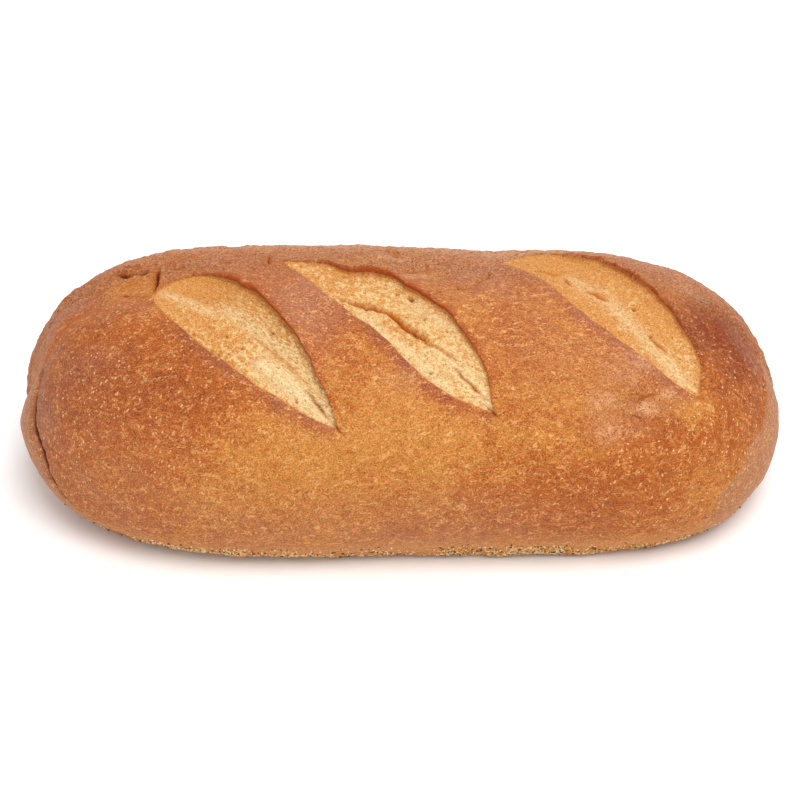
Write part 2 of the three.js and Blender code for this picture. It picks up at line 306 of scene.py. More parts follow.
# Where the crust's points lie in a slash: how far along it, and how far past its front edge and its lip
def measureSlash(slash, number, field):
    make = slashMake
    back, tip = np.array(slash["back"], float), np.array(slash["tip"], float)
    length = np.linalg.norm(tip - back)
    line = (tip - back) / length
    across = np.array([line[1], -line[0]])
    x, girth = field["x"] - back[0], field["girth"] - back[1]
    share = (x * line[0] + girth * line[1]) / length
    side = x * across[0] + girth * across[1]
    low, high = make["reach"]
    near = np.flatnonzero((share > 0.001) & (share < 0.999) & (side > low) & (side < high))
    cut = SimpleNamespace(number=number, near=near, across=across, share=share[near], side=side[near])
    cut.place = {"x": field["x"][near], "girth": field["girth"][near]}
    cut.skin = field["skin"][near]
    cut.distance = cut.share * length
    fade = np.sin(np.pi * cut.share)
    cut.deep, cut.proud = fade ** make["depthPower"], fade ** make["earPower"]
    ragged = unevenness(cut.distance, make["raggedCoarse"], number)
    ragged = fade * (ragged + unevenness(cut.distance, make["raggedFine"], number))
    lip = bowOf(slash["lip"], cut.share) + ragged
    front = -bowOf(slash["front"], cut.share) + make["frontRagged"] * ragged
    cut.pastFront, cut.pastLip = cut.side - front, cut.side - lip
    cut.width = np.maximum(lip - front, 0.5)
    cut.half = np.minimum(make["wallHalf"] * cut.deep, 0.45 * cut.width)
    cut.part = np.clip(cut.pastFront / cut.width, 0, 1)
    cut.onWall = np.clip((cut.pastLip + cut.half) / (2 * cut.half + 1e-6), 0, 1)
    cut.onEar = np.clip((cut.pastLip - cut.half) / (slash["ear"]["spread"] - cut.half), 0, 1)
    return cut


# Of three values, the one for the torn floor, for the wall under the lip or for the ear beyond it
def acrossSlash(cut, floor, wall, ear):
    return np.where(cut.pastLip < -cut.half, floor, np.where(cut.pastLip < cut.half, wall, ear))


# Places in a pattern that is drawn out along the slash
def drawnOut(cut, pattern, seed):
    along = cut.distance / pattern["long"] + pattern["slant"] * cut.side
    return np.stack([along, cut.side / pattern["thick"], np.full_like(cut.side, seed)], 1)


def tearCrumb(slash, cut, away):
    relief = crumbRelief
    pores, strands, ridges = relief["pores"], relief["strands"], relief["ridges"]
    grainy = lumps(cut.skin, relief["sponge"]) + lumps(cut.skin, relief["fineSponge"], 5)
    grainy = grainy - pores["depth"] * smooth(softNoise(cut.skin, pores["size"], 40), *pores["between"])
    places = drawnOut(cut, strands, cut.number)
    fibre = softNoise(places, 1) + strands["fine"] * softNoise(places * strands["finer"], 1, 3)
    torn = lumps(cut.skin, relief["swells"], 20)
    torn = torn + ridges["height"] * softNoise(drawnOut(cut, ridges, cut.number + 9), 1)
    return grainy + slash["fibres"] * fibre * (0.3 + 0.9 * away) + torn


def shapeSlash(slash, cut, field):
    make, ear, near = slashMake, slash["ear"], cut.near
    top = ear["height"] * cut.proud * (1 + unevenness(cut.distance, make["earUneven"], cut.number + 5))
    overhang = 1 + unevenness(cut.distance, make["overhangUneven"], cut.number + 9)
    overhang = ear["overhang"] * cut.deep * overhang
    undercut = make["undercut"] * cut.deep

    # sideways: the floor runs in under the lip, and the ear hangs out over it
    away = smooth(cut.part, 0.3, np.clip(1 - cut.half / cut.width, 0.4, 1))
    shiftFloor = (cut.half + undercut) * away
    shiftWall = blend(undercut, -overhang, smooth(cut.onWall, 0, make["rimAt"])) - cut.pastLip
    shiftEar = -(cut.half + overhang) * (1 - smooth(cut.onEar, 0, 1))
    shift = acrossSlash(cut, shiftFloor, shiftWall, shiftEar) * (cut.pastFront > 0)
    field["shiftX"][near] += shift * cut.across[0]
    field["shiftGirth"][near] += shift * cut.across[1]

    # up and down
    floor = -through(slash["floor"], cut.part) * cut.deep
    floor = floor + tearCrumb(slash, cut, away) * cut.deep * smooth(cut.pastFront, 0, 1.4)
    rim = make["rimLevel"] * top - make["rimDrop"]
    lowWall = blend(floor, rim, smooth(cut.onWall, 0, make["rimAt"]))
    highWall = blend(rim, top, smooth(cut.onWall, make["rimAt"], 1))
    wall = np.where(cut.onWall < make["rimAt"], lowWall, highWall)
    earHeight = top * (1 - smooth(cut.onEar, -0.12, 1)) * (1 + hillAt(cut.onEar, *make["crest"]))
    step = smooth(cut.pastFront, -0.7, 0.5)
    kept = field["height"][near] * (1 - step * (cut.pastLip < cut.half) * cut.deep)
    shoulder = cut.proud * hillAt(cut.pastFront, *make["shoulder"]) * (1 - step)
    field["height"][near] = kept + acrossSlash(cut, floor * step, wall, earHeight) * step + shoulder


# What the paint needs to know of a slash: its crumb, then its lip and the crust beside it

slashTones = {
    "frontToast": (0, 0.9, 0.45), "patchy": (8, 0.5), "lipShadow": (0.55, 0.16, 1), "band": (-1.2, 3.6, 1),
    "bandBake": 0.7, "bandSpeck": 0.6, "earBake": 0.5, "earRosyAndSheen": 0.8,
}


def markCrumb(slash, cut, field):
    near, share = cut.near, cut.share
    crumb = smooth(cut.pastFront, -0.35, 0.35) * (1 - smooth(cut.onWall, 0.4, 0.62))
    crumb = crumb * smooth(cut.width, 0.5, 1.6)
    torn = crumb > 0
    liftTo(field, "crumb", crumb, near)
    stringy = slash["stringy"] * smooth(cut.part, 0.46, 0.6) * smooth(share, 0.02, 0.2)
    for label, values in (("along", cut.distance), ("across", cut.side), ("stringy", stringy)):
        field[label][near] = np.where(torn, values, field[label][near])
    toastWidth, toastAmount = slash["lipToast"]
    toasted = through(slash["toast"], share) + hillAt(cut.pastFront, *slashTones["frontToast"])
    toasted = toasted + toastAmount * smooth(cut.pastLip + cut.half, -toastWidth, 0.4)
    field["toast"][near] += (toasted + patches(cut.place, slash["patches"])) * torn
    # pale cream strokes on the crumb, partly a painted highlight along its ridges
    for start, end, width, amount in slash["white"]:
        white = amount * hill(segmentDistance(cut.place, start, end) / width)
        liftTo(field, "white", white * torn, near)


def markEdges(slash, cut, field):
    tones, near, share, pastLip, half = slashTones, cut.near, cut.share, cut.pastLip, cut.half
    patchy = 0.75 + unevenness(cut.distance, tones["patchy"], cut.number + 20)
    rimFrom, rimBack, rimTip = slash["rim"]
    rimWidth = blend(rimBack, rimTip, smooth(share, 0.15, 0.6)) * patchy
    rim = smooth(cut.onWall, rimFrom, rimFrom + 0.16) * (1 - smooth(pastLip - half, 0, rimWidth))
    rim = rim * (cut.pastFront > 0) * cut.proud
    liftTo(field, "rim", rim * (1 - 0.5 * smooth(share, 0.6, 1)), near)
    # painted shade: a dark line on the wall just under the lip
    shadow = hillAt(cut.onWall, *tones["lipShadow"]) * (np.abs(pastLip) < half) * cut.deep
    liftTo(field, "dark", blend(*slash["underLipShade"], smooth(share, 0.5, 0.95)) * shadow, near)
    band = hillAt(cut.pastFront, *tones["band"]) * (cut.pastFront < 0.3) * smooth(share, 0.05, 0.4) * patchy
    earBand = smooth(pastLip, 0.1, half) * (1 - smooth(pastLip, 1.2, 4.5)) * cut.proud * patchy
    field["bake"][near] += tones["bandBake"] * band * (1 - 0.5 * smooth(share, 0.85, 1))
    field["bake"][near] += tones["earBake"] * earBand
    # more rosy tone and painted sheen on the band by the front edge, less on the ear beyond the lip
    field["rosy"][near] += slash["mauve"] * band
    field["rosy"][near] *= 1 - tones["earRosyAndSheen"] * earBand
    field["speck"][near] *= 1 - tones["bandSpeck"] * band


def openSlashes(field):
    for number, slash in enumerate(slashes):
        cut = measureSlash(slash, number, field)
        shapeSlash(slash, cut, field)
        markCrumb(slash, cut, field)
        markEdges(slash, cut, field)


# Tears, creases and cracks: V grooves along a few places on the crust, with painted shade down in them

grooves = [   # width, depth, dark (painted shade in the groove), tan, lean, path; lean widens a groove on its left, looking along it
    (1.6, 3.0, 0.9, 0.8, 0.5, [(-105, -20.5), (-101, -16), (-97.5, -14), (-94, -12.5), (-90.5, -11)]),
    (0.9, 0.9, 0.35, 0.5, 0.5, [(-103.5, -27), (-99, -20.5), (-92.5, -15.5)]),
    (0.9, 2.4, 0.9, 0.9, 0.2, [(-87, -15.5), (-88, -10), (-87.5, -6), (-88, -2.5), (-88, 2)]),
    (0.7, 1.3, 0.85, 0.3, -0.3, [(-101, 0), (-99, 1), (-96.5, 1.5), (-92.5, 3), (-90, 3.5)]),
    (0.8, 0.9, 0.5, 0.5, 0, [(-113, -7), (-110, -4.5), (-108, -4)]),
    (0.9, 0.8, 0.35, 0.5, 0.4, [(-86.5, -15.5), (-82.5, -12), (-79, -11), (-76.5, -12)]),
    (2.2, 1.1, 0.1, 0.45, 0.4, [(-130.5, 26.5), (-127.5, 15), (-124, 10.5), (-121.5, 7), (-117, 5.5),
                                (-110, 5)]),
    (0.8, 0.5, 0.3, 0, 0, [(-128.5, -2), (-126.5, -4.5), (-124, -6)]),
    (0.85, 1.7, 0.5, 1.15, -0.2, [(-25.5, 1.5), (-19, 6), (-8.5, 9.5), (-4, 12), (5, 20.5), (21, 33)]),
    (0.5, 1.0, 0.5, 0.9, 0, [(17, 33), (22, 38), (26, 42.5), (31, 48)]),
    (0.8, 1.3, 0.75, 0.7, 0, [(-48.5, -18.5), (-47.5, -15.5), (-48, -12.5), (-47, -9.5)]),
    (0.5, 0.8, 0.4, 0.6, -0.4, [(80.5, 49), (81.5, 47), (83.5, 45.5), (86, 44), (89, 43), (90.5, 41.5)]),
    (0.9, 0.4, 0.3, 0, 0.4, [(73, 47.5), (75.5, 46), (78.5, 45)]),
    (0.4, 0.6, 0.5, 0, 0, [(79, 52.5), (81, 51.5), (83, 52.5), (85.5, 51)]),
    (0.5, 0.35, 0.15, 0.3, 0, [(67, 46), (71, 42.5), (76, 40.5), (81, 40)]),
    (0.5, 0.35, 0.15, 0.3, 0, [(70, 51), (75, 50.5), (78, 53)]),
    (0.6, 0.9, 0.3, 0.9, 0.3, [(49, -11.5), (53, -10.5), (56.5, -10), (58.5, -10.5)]),
    (0.6, 0.9, 0.4, 0.8, 0, [(59, -7.5), (60.5, -5.5), (62, -4.5)]),
    (0.7, 1.1, 0.25, 1.1, -0.3, [(66, -2.5), (69, -1), (72, 0.5), (75.5, 2)]),
    (0.7, 1.0, 0.4, 0.9, 0.3, [(88, 16), (90, 18.5), (91.5, 20.5), (94.5, 23.5)]),
    (0.5, 0.6, 0.15, 0.5, 0, [(-60, 16), (-56, 20), (-50.5, 24), (-44.8, 28.7), (-40.8, 32.3),
                              (-34.6, 39), (-30, 44.5)]),
    (0.6, 1.5, 0.6, 0.6, 0.2, [(-34, 43), (-31, 46), (-27, 51.5), (-25, 54), (-22.5, 57)]),
    (0.6, 1.0, 0.5, 0.5, 0, [(-24, 55.5), (-22.5, 57), (-19, 61)]),
    (0.5, 0.9, 0.5, 0.4, 0, [(29, 48), (32.5, 52), (34.5, 54)]),
    (0.6, 0.7, 0.3, 0.6, 0, [(103, 40.5), (104.5, 43), (106.5, 45)]),
    (1.0, 0.9, 0.4, 0.4, 0.4, [(-9, -23.5), (-5, -22.5), (-2, -19.5), (0.5, -17.5)]),
    (1.0, 0.6, 0.2, 0, 0, [(-0.5, -6), (5.5, -6.5), (10, -9), (13, -13.5)]),
    (0.9, 0.9, 0.4, 0.2, 0.3, [(13, 3), (20.5, 0.5), (25.5, 0), (30, -4), (32, -7.5), (31, -13)]),
]
folds = [   # where the loaf's end was tucked under, smoother than a tear
    (2.0, 3.2, 1.3, 0, 0, [(-131, 24), (-131, 32), (-131.5, 42)]),
    (1.3, 2.2, 1.1, 0, 0, [(-130.5, 26), (-131, 35), (-131.5, 46), (-132, 54), (-132, 66), (-130.5, 74),
                            (-129, 78), (-127.5, 84), (-126, 92), (-119, 104), (-111, 113)]),
]
pits = [   # x, girth, radius, depth
    (-45.5, 20.5, 0.7, 1.2), (-60.8, 22.9, 0.6, 0.6), (-55.3, 27.7, 0.6, 0.7), (-59.9, 29.7, 0.6, 0.5),
    (-72.5, 21.6, 0.5, 0.5), (-36, 48, 0.5, 0.7), (3, 5, 0.9, 1.7), (8, 14.5, 0.6, 0.7),
    (10.5, 36, 0.6, 1.0), (-6, 1, 0.5, 0.7), (-2, 4, 0.5, 0.5), (83.5, 4, 0.7, 1.0), (89, 16.5, 0.6, 1.0),
    (96.5, 1, 0.5, 0.8), (60, -7, 0.5, 0.8), (-5, -30, 0.7, 0.8), (-1, -20.5, 0.6, 0.7),
    (13.5, -13.5, 0.8, 1.0), (20, -13, 0.6, 0.8), (20.5, 0.5, 0.6, 0.7), (32, -7.5, 0.7, 0.7),
    (14.5, 2.5, 0.5, 0.6), (42, 1.5, 0.6, 0.6),
]
grooveMake = {
    "jagged": 0.4, "foldJagged": 0.15, "unevenSize": 2.6, "jagSize": 2.2, "narrowest": 0.3,
    # The painted shade's width in a groove and its strength in a pit, then the same for the tan skin
    "shadeWidth": 0.6, "tanWidth": 1.3, "pitShade": 0.6, "pitTan": 0.7,
}


# A smooth run of points through a few places
def smoothPath(places, steps=16):
    p = np.array([places[0], *places, places[-1]], float)
    run = []
    for i in range(1, len(p) - 2):
        t = np.linspace(0, 1, steps, endpoint=False)[:, None]
        a, b, c, d = p[i - 1], p[i], p[i + 1], p[i + 2]
        squared = (2 * a - 5 * b + 4 * c - d) * t ** 2
        cubed = (3 * b - a - 3 * c + d) * t ** 3
        run.append(0.5 * (2 * b + (c - a) * t + squared + cubed))
    return np.concatenate([*run, p[-1:]])


# The points near a run: how far from it they are, to which side, and how far along
def besideRun(field, run, reach):
    x, girth = field["x"], field["girth"]
    low, high = run.min(0) - reach, run.max(0) + reach
    near = np.flatnonzero((x > low[0]) & (x < high[0]) & (girth > low[1]) & (girth < high[1]))
    gap = np.hypot(x[near, None] - run[None, :, 0], girth[near, None] - run[None, :, 1])
    closest = gap.argmin(1)
    ahead = np.gradient(run, axis=0)[closest]
    offset = np.stack([x[near], girth[near]], 1) - run[closest]
    side = np.sign(ahead[:, 0] * offset[:, 1] - ahead[:, 1] * offset[:, 0])
    steps = np.concatenate([[0], np.cumsum(np.hypot(*np.diff(run, axis=0).T))])
    return near, gap[np.arange(len(near)), closest], side, steps[closest], steps[-1]


def cutGroove(field, groove, jag, seed):
    make = grooveMake
    width, depth, dark, tan, lean, path = groove
    near, gap, side, along, length = besideRun(field, smoothPath(path), 4 * width + 1)
    fade = np.sin(np.pi * np.clip(along / length, 0.02, 0.98)) ** 0.6
    uneven = 1 + jag * lineNoise(along, make["unevenSize"], seed)
    gap = np.abs(gap * side - jag * lineNoise(along, make["jagSize"], seed + 60))   # jagged, not ruled
    opening = np.maximum(width * (0.4 + 0.6 * fade) * uneven * (1 + lean * side), make["narrowest"])
    field["height"][near] -= depth * fade * uneven * hill(gap / opening)
    # painted shade down in the groove
    liftTo(field, "dark", dark * fade * uneven * hill(gap / (make["shadeWidth"] * opening)), near)
    liftTo(field, "tan", tan * fade * hill(gap / (make["tanWidth"] * opening)), near)


def cutTears(field):
    for seed, groove in enumerate(grooves):
        cutGroove(field, groove, grooveMake["jagged"], seed)
    for seed, fold in enumerate(folds):
        cutGroove(field, fold, grooveMake["foldJagged"], len(grooves) + seed)
    for x, girth, radius, depth in pits:
        spot = patch(field, x, girth, radius, radius, 1)
        field["height"] -= depth * spot
        # painted shade in the pit
        liftTo(field, "dark", grooveMake["pitShade"] * spot)
        liftTo(field, "tan", grooveMake["pitTan"] * spot)


# How the oven coloured the crust, with painted sheen and shade among the tones: patches of each tone

browning = {
    "start": 0.3, "clouds": (22, 0.12), "smallClouds": (9, 0.1), "raggedSize": 7,
    "bake": [
        (-112, 40, 36, 54, 0.4), (-86, 46, 22, 22, 0.22), (-124, 60, 14, 50, 0.15), (118, 12, 22, 44, 0.85),
        (66, 84, 36, 18, 0.32), (-66, 46, 20, 12, 0.3), (-24, 66, 34, 16, -0.25), (22, 66, 26, 16, -0.12),
        (-34, 86, 40, 16, -0.1), (104, 50, 8, 8, -0.35), (-96, -4, 12, 8, -0.2), (-40, -50, 120, 40, 0.12),
        (0, -95, 90, 30, 0.15), (100, -70, 50, 40, 0.3), (-100, -70, 50, 40, 0.35), (88, 58, 14, 5, 0.3),
        (-100, 90, 30, 22, 0.05), (0, 116, 120, 14, -0.2), (88, 76, 12, 5, 0.15), (116, 2, 10, 14, 0.4),
        (-100, 36, 14, 10, 0.15), (-30, 24, 16, 14, 0.25), (108, 88, 12, 14, -0.1), (40, 20, 18, 14, 0.15),
        # The narrow strip at x -127.5 is painted shade beside the left end's fold
        (-127.5, 62, 3, 36, 0.45), (110, -4, 9, 16, 0.35), (104, 46, 5, 5, -0.3), (0, 122, 120, 9, -0.65),
        (78, 92, 20, 14, 0.1), (-42, 2, 12, 10, 0.3), (-97, -4, 8, 5, -0.5), (108, 80, 16, 14, -0.15),
        (0, 38, 9, 6, -0.3),
    ],
    # The crust's own rosy tone together with a painted sheen, strongest along the ridge and at the ends
    "rosy": [
        (-10, -30, 120, 22, 0.85), (-30, 5, 20, 12, 0.75), (-72, -12, 24, 7, 0.6), (30, -6, 24, 14, 0.65),
        (80, 32, 12, 8, 0.5), (86, 49, 8, 5, 0.4), (71, 54, 6, 8, 0.4), (-4, -46, 110, 16, 0.3),
        (106, -12, 5, 6, 0.6), (-98, 9, 14, 6, 0.45), (-122, -2, 12, 9, 0.8), (-127, 44, 10, 50, 0.4),
        (52, 24, 20, 16, 0.4), (104, -24, 16, 9, 0.7), (126, -28, 10, 12, 0.7), (10, 30, 14, 12, 0.25),
        (-106, 84, 30, 30, 0.4), (20, 96, 60, 14, 0.4), (110, -4, 9, 16, -0.7), (-34, 20, 12, 22, 0.45),
        # The narrow strip at x -127.5 is painted shade beside the fold as well
        (-50, 98, 60, 14, 0.3), (-107, 34, 14, 12, 0.4), (0, 38, 9, 6, 0.25), (-127.5, 60, 3, 40, 0.4),
        (0, 112, 110, 10, 0.3),
    ],
    "speck": [
        (-100, 50, 46, 60, 1.0), (118, 40, 34, 60, 1.0), (-30, 34, 40, 30, 0.5), (20, 84, 90, 26, 0.4),
        (80, 80, 40, 30, 0.5), (-60, 20, 20, 20, 0.3), (110, -4, 8, 16, -0.8), (110, 40, 26, 50, 0.5),
    ],
    # Flour dust, and partly a painted sheen: the wide row along the ridge and the rows on the pink patch
    # near x 85
    "flour": [
        (-4, -15, 7, 2.2, 0.6), (5, -4, 6, 1.6, 0.4), (-56, 0.5, 2, 0.8, 0.3), (93, 42.5, 3.5, 2.2, 0.8),
        (85, 48.5, 4.5, 2.6, 0.85), (78, 37, 7, 4, 0.3), (70, 46, 5, 4, 0.5), (80, 57, 5, 3, 0.3),
        (72, 58, 4, 4, 0.5), (84, 30, 6, 4, 0.4), (0, -36, 120, 14, 0.75), (107, -13, 9, 8, 0.35),
        (0, 118, 110, 7, 0.3),
    ],
    "craggy": [(82, 46, 16, 10, 0.8), (-112, -2, 18, 10, 0.5)],
    "tan": [   # thin skin beside the tears
        (-96.5, -4, 8, 4.5, 1), (-89.8, -6, 1.8, 7, 1), (-46, -10, 5, 2, 0.7), (-82, -19, 7, 1.6, 0.7),
        (-70, -21, 6, 1.2, 0.6),
    ],
    "tanAmount": 0.55,
}
# The paler end faces, partly less-baked crust and partly a painted sheen where the ends turn away: (girth,
# x) of their edges, which are crisp between two girths and soft elsewhere
endFaces = [
    {"edge": [(-190, -134), (-40, -134), (0, -134), (26, -130.5), (46, -132), (58, -132.5), (70, -132),
              (78, -129.5), (92, -126.5), (104, -119), (113, -112), (190, -112)],
     "crisp": (30, 112), "way": -1, "amount": 0.8},
    {"edge": [(-190, 136), (-60, 136), (-14, 134.5), (-1, 133.5), (17, 133), (35, 132), (51, 131.5),
              (62, 130), (67, 126), (73, 123.5), (79, 122.5), (85, 118), (92, 112), (110, 107), (190, 107)],
     "crisp": (-12, 96), "way": 1, "amount": 0.9},
]
endFaceMake = {
    "wander": (5, 0.8), "softWidth": 6.0, "crispWidth": 0.8, "softAmount": 0.75,
    "ridge": (-0.6, 1.2, 0.25), "specks": (-0.5, 0.8, 0.5),
}
# The meal at the foot, and how the crust's colour ends there; along holds (x, amount)
footMeal = {
    "along": [(-140, 0.02), (-94, 0.06), (-86, 0.9), (-60, 1.0), (-32, 0.7), (-20, 0.15), (12, 0.15),
              (22, 0.8), (56, 0.7), (64, 0.15), (100, 0.08), (140, 0.03)],
    "between": (5, 11), "raggedBy": 3, "least": 0.05, "raggedAmount": 0.3,
    "browned": (5.5, 3.2, 0.15), "tanBelow": 0.6, "tanAmount": 0.8,
}


def paleEndFaces(field):
    make, girth = endFaceMake, field["girth"]
    for face in endFaces:
        edge = through(face["edge"], girth) + lumps(field["skin"], make["wander"], 33)
        beyond = face["way"] * (field["x"] - edge)
        low, high = face["crisp"]
        crisp = smooth(girth, low - 12, low + 8) * (1 - smooth(girth, high - 8, high + 12))
        width = blend(make["softWidth"], make["crispWidth"], crisp)
        paler = blend(make["softAmount"], 1, crisp) * smooth(beyond / width, -0.4, 1)
        # the paler ends: less-baked crust, partly a painted sheen
        liftTo(field, "endFace", face["amount"] * paler)
        field["height"] += crisp * hillAt(beyond, *make["ridge"])
        field["speck"] += crisp * hillAt(beyond, *make["specks"])


def colourCrust(field):
    skin = field["skin"]
    z = skin[:, 2]
    field["bake"] += browning["start"] + lumps(skin, browning["clouds"], 50)
    field["bake"] += lumps(skin, browning["smallClouds"], 70)
    for tone in ("bake", "rosy", "speck", "flour", "craggy"):
        field[tone] += patches(field, browning[tone])
    ragged = 0.5 + 0.5 * softNoise(skin, browning["raggedSize"], 90)
    # the rosy tone and its painted sheen, made ragged
    field["rosy"] *= 0.5 + 0.9 * ragged
    for row in browning["tan"]:
        liftTo(field, "tan", browning["tanAmount"] * patch(field, *row) * (0.6 + 0.6 * ragged))
    paleEndFaces(field)
    foot = footMeal
    amount = foot["least"] + foot["raggedAmount"] * ragged
    reach = 1 - smooth(z + foot["raggedBy"] * ragged, *foot["between"])
    field["meal"] += reach * through(foot["along"], field["x"]) * amount
    field["bake"] += hillAt(z, *foot["browned"])
    liftTo(field, "tan", foot["tanAmount"] * (1 - smooth(z, 0, foot["tanBelow"])))


# The mesh: rings along the loaf, closer together where the slashes are

loafMesh = {   # (degrees, gap) stops: tilt runs from end to end, turn round the loaf
    "tiltStops": [(-90, 0.55), (-56, 0.5), (-44, 0.27), (0, 0.205), (44, 0.27), (56, 0.5), (90, 0.6)],
    "turnStops": [(-180, 2.6), (-130, 1.6), (-60, 0.95), (-34, 0.5), (-24, 0.42), (62, 0.42), (74, 0.7),
                  (125, 0.85), (140, 2.0), (180, 2.6)],
    "fineness": 1.0, "quickFineness": 2.0, "endGap": 0.01,
}
# What the paint reads at each point of the crust
painted = ["crumb", "along", "across", "toast", "white", "stringy", "rim", "dark", "bake", "rosy", "speck",
           "flour", "tan", "meal", "endFace", "craggy"]


# Places from the first stop to the last, as far apart as each stop says
def gradedLine(stops, fineness):
    at, gap = np.array(stops, float).T
    fine = np.linspace(at[0], at[-1], 4000)
    count = np.concatenate([[0], np.cumsum(np.diff(fine) / (fineness * np.interp(fine[:-1], at, gap)))])
    steps = int(round(count[-1]))
    return np.interp(np.linspace(0, count[-1], steps + 1), count, fine)


def makeMesh(name, points, faces, fields):
    mesh = bpy.data.meshes.new(name)
    mesh.from_pydata((points * mm).tolist(), [], faces)
    for label, values in fields.items():
        mesh.attributes.new(label, "FLOAT", "POINT").data.foreach_set("value", values.astype(np.float32))
    mesh.polygons.foreach_set("use_smooth", np.ones(len(mesh.polygons), bool))
    mesh.update()
    piece = bpy.data.objects.new(name, mesh)
    bpy.context.scene.collection.objects.link(piece)
    return piece


# Four-sided faces between the rings, and a fan of triangles from the point at each end
def loafFaces(rings, around):
    i, j = np.meshgrid(np.arange(rings - 1), np.arange(around), indexing="ij")
    here = 1 + i * around + j
    beside = 1 + i * around + (j + 1) % around
    faces = np.stack([here, here + around, beside + around, beside], -1).reshape(-1, 4).tolist()
    last = 1 + rings * around
    for j in range(around):
        following = (j + 1) % around
        faces.append([0, 1 + j, 1 + following])
        faces.append([last, last - around + following, last - around + j])
    return faces


def makeLoaf():
    fineness = loafMesh["fineness"]
    tilt = np.radians(gradedLine(loafMesh["tiltStops"], fineness))[1:-1]
    turn = np.radians(gradedLine(loafMesh["turnStops"], fineness))[:-1]
    halfLength, girthRadius = loafForm["halfLength"], loafForm["girthRadius"]
    x = np.concatenate([[-halfLength], np.repeat(halfLength * np.sin(tilt), len(turn)), [halfLength]])
    theta = np.concatenate([[0], np.tile(turn, len(tilt)), [0]])
    field = {"x": x, "girth": theta * girthRadius}
    for label in ("shiftX", "shiftGirth", *painted):
        field[label] = np.zeros(len(x))
    raiseRelief(field)
    colourCrust(field)
    openSlashes(field)
    cutTears(field)
    reach = halfLength - loafMesh["endGap"]
    movedX = np.clip(x + field["shiftX"], -reach, reach)
    movedX[0], movedX[-1] = x[0], x[-1]
    movedTheta = (field["girth"] + field["shiftGirth"]) / girthRadius
    points = skinPoint(movedX, movedTheta) + field["height"][:, None] * skinNormal(movedX, movedTheta)
    points[:, 2] = np.maximum(points[:, 2], 0)
    points[:, :2] -= (points[:, :2].min(0) + points[:, :2].max(0)) / 2   # centred, as the solid is
    fields = {label: field[label] for label in painted}
    piece = makeMesh("ryeLoaf", points, loafFaces(len(tilt), len(turn)), fields)
    print("loaf:", len(tilt), "rings of", len(turn), "points")
    return piece, points


# Shader maths: a wire wraps a socket, and a paint makes the nodes of one material

class Wire:
    def __init__(self, paint, socket):
        self.paint = paint
        self.socket = socket

    def __add__(self, other):
        return self.paint.maths("ADD", self, other)

    def __sub__(self, other):
        return self.paint.maths("SUBTRACT", self, other)

    def __rsub__(self, other):
        return self.paint.maths("SUBTRACT", other, self)

    def __mul__(self, other):
        return self.paint.maths("MULTIPLY", self, other)

    __radd__ = __add__
    __rmul__ = __mul__


class Paint:
    def __init__(self, name):
        self.material = bpy.data.materials.new(name)
        self.material.use_nodes = True
        self.tree = self.material.node_tree
        self.shader = self.tree.nodes["Principled BSDF"]
        self.place = self.node("TexCoord", out="Object")

    def node(self, kind, settings=None, inputs=None, out=0):
        made = self.tree.nodes.new("ShaderNode" + kind)
        for label, value in (settings or {}).items():
            setattr(made, label, value)
        for label, value in (inputs or {}).items():
            self.feed(made.inputs[label], value)
        return Wire(self, made.outputs[out])

    def feed(self, socket, value):
        if isinstance(value, Wire):
            self.tree.links.new(value.socket, socket)
        else:
            socket.default_value = value

    def maths(self, operation, a, b=0.0):
        return self.node("Math", {"operation": operation}, {0: a, 1: b})

    def step(self, value, low, high):
        settings = {"interpolation_type": "SMOOTHSTEP"}
        return self.node("MapRange", settings, {0: value, 1: low, 2: high})

    def mix(self, part, a, b, way="MIX"):
        settings = {"data_type": "RGBA", "blend_type": way, "clamp_factor": True}
        return self.node("Mix", settings, {0: part, 6: a, 7: b}, out=2)

    def field(self, label):
        return self.node("Attribute", {"attribute_name": label}, out="Fac")

    # Places pushed along by a noise, by up to so many millimetres on each axis
    def bent(self, size, far, where):
        inputs = {0: self.noise(size), 1: tuple(step * mm for step in far), 2: where}
        return self.node("VectorMath", {"operation": "MULTIPLY_ADD"}, inputs)

    def stretched(self, where, times):
        return self.node("VectorMath", {"operation": "MULTIPLY"}, {0: where, 1: times})

    def noise(self, size, detail=2.0, roughness=0.5, distortion=0.0, where=None):
        inputs = {"Vector": where or self.place, "Scale": 1 / (size * mm), "Detail": detail,
                  "Roughness": roughness, "Distortion": distortion}
        return self.node("TexNoise", None, inputs)

    # A noise drawn apart, to run from 0 at its low value to 1 at its high one
    def pattern(self, size, low, high, detail=2.0, roughness=0.5, where=None):
        return self.step(self.noise(size, detail, roughness, where=where), low, high)

    # Thin wandering lines where a noise crosses its middle value
    def lines(self, size, width, where):
        net = self.noise(size, distortion=0.6, where=where)
        return 1 - self.step(self.maths("ABSOLUTE", net - 0.5), 0.0, width)

    def cells(self, size, where=None, out="Distance"):
        inputs = {"Vector": where or self.place, "Scale": 1 / (size * mm)}
        return self.node("TexVoronoi", None, inputs, out=out)

    # Round spots, one in a cell, each as large as its own luck makes it
    def spots(self, size, widest, kept, where=None):
        luck = self.cells(size, where, out="Color")
        edge = self.cells(size, where) - widest * self.step(luck, 1 - kept, 1.15 - 0.5 * kept)
        return (1 - self.step(edge, -0.1, 0.06)) * self.step(luck, 1 - kept, 1.04 - kept)

    # A colour made lighter and darker by a fine pattern that runs from 0 to 1
    def mottled(self, colour, pattern, deep, paler, pale):
        shadow = self.mix(1.0, colour, (1 - deep, 1 - deep, 1 - deep, 1), way="MULTIPLY")
        return self.mix(pattern, shadow, self.mix(paler, colour, pale))

    def finish(self, values):
        for label, value in values.items():
            self.feed(self.shader.inputs[label], value)
        return self.material


# A colour as it looks on a screen, from 0 to 255, for a shader
def tone(red, green, blue):
    linear = [((c / 255 + 0.055) / 1.055) ** 2.4 if c > 10 else c / 255 / 12.92 for c in (red, green, blue)]
    return (*linear, 1.0)


